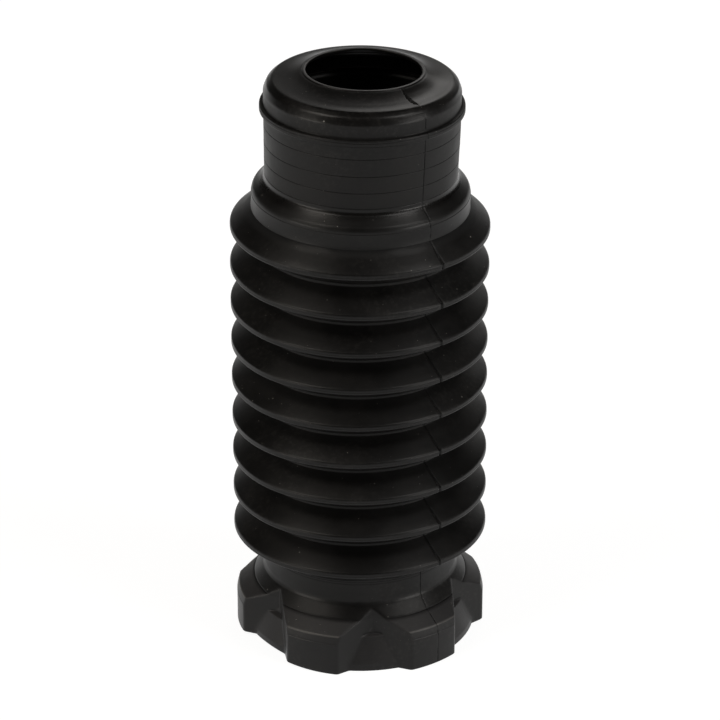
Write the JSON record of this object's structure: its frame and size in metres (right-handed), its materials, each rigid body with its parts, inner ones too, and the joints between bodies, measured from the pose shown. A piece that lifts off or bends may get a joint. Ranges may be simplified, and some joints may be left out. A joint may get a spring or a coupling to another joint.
{
  "type": "rubber bellows boot",
  "caption": "Tall black rubber dust boot with a crowned cap and rod opening, a beaded neck, a stack of bellows folds and a castellated lower collar.",
  "frame": {"origin": "on the boot's axis, in the plane of the lower collar's rim that it stands on", "axes": "+Z along the boot's axis from the lower collar to the cap; -Y through the middle of a notch between two lugs"},
  "size_m": [0.088, 0.088, 0.2074],
  "materials": {
    "rubber": "moulded black rubber with a soft satin sheen"
  },
  "bodies": {
    "root": {"bellows_boot": "rubber"}
  },
  "joints": []
}
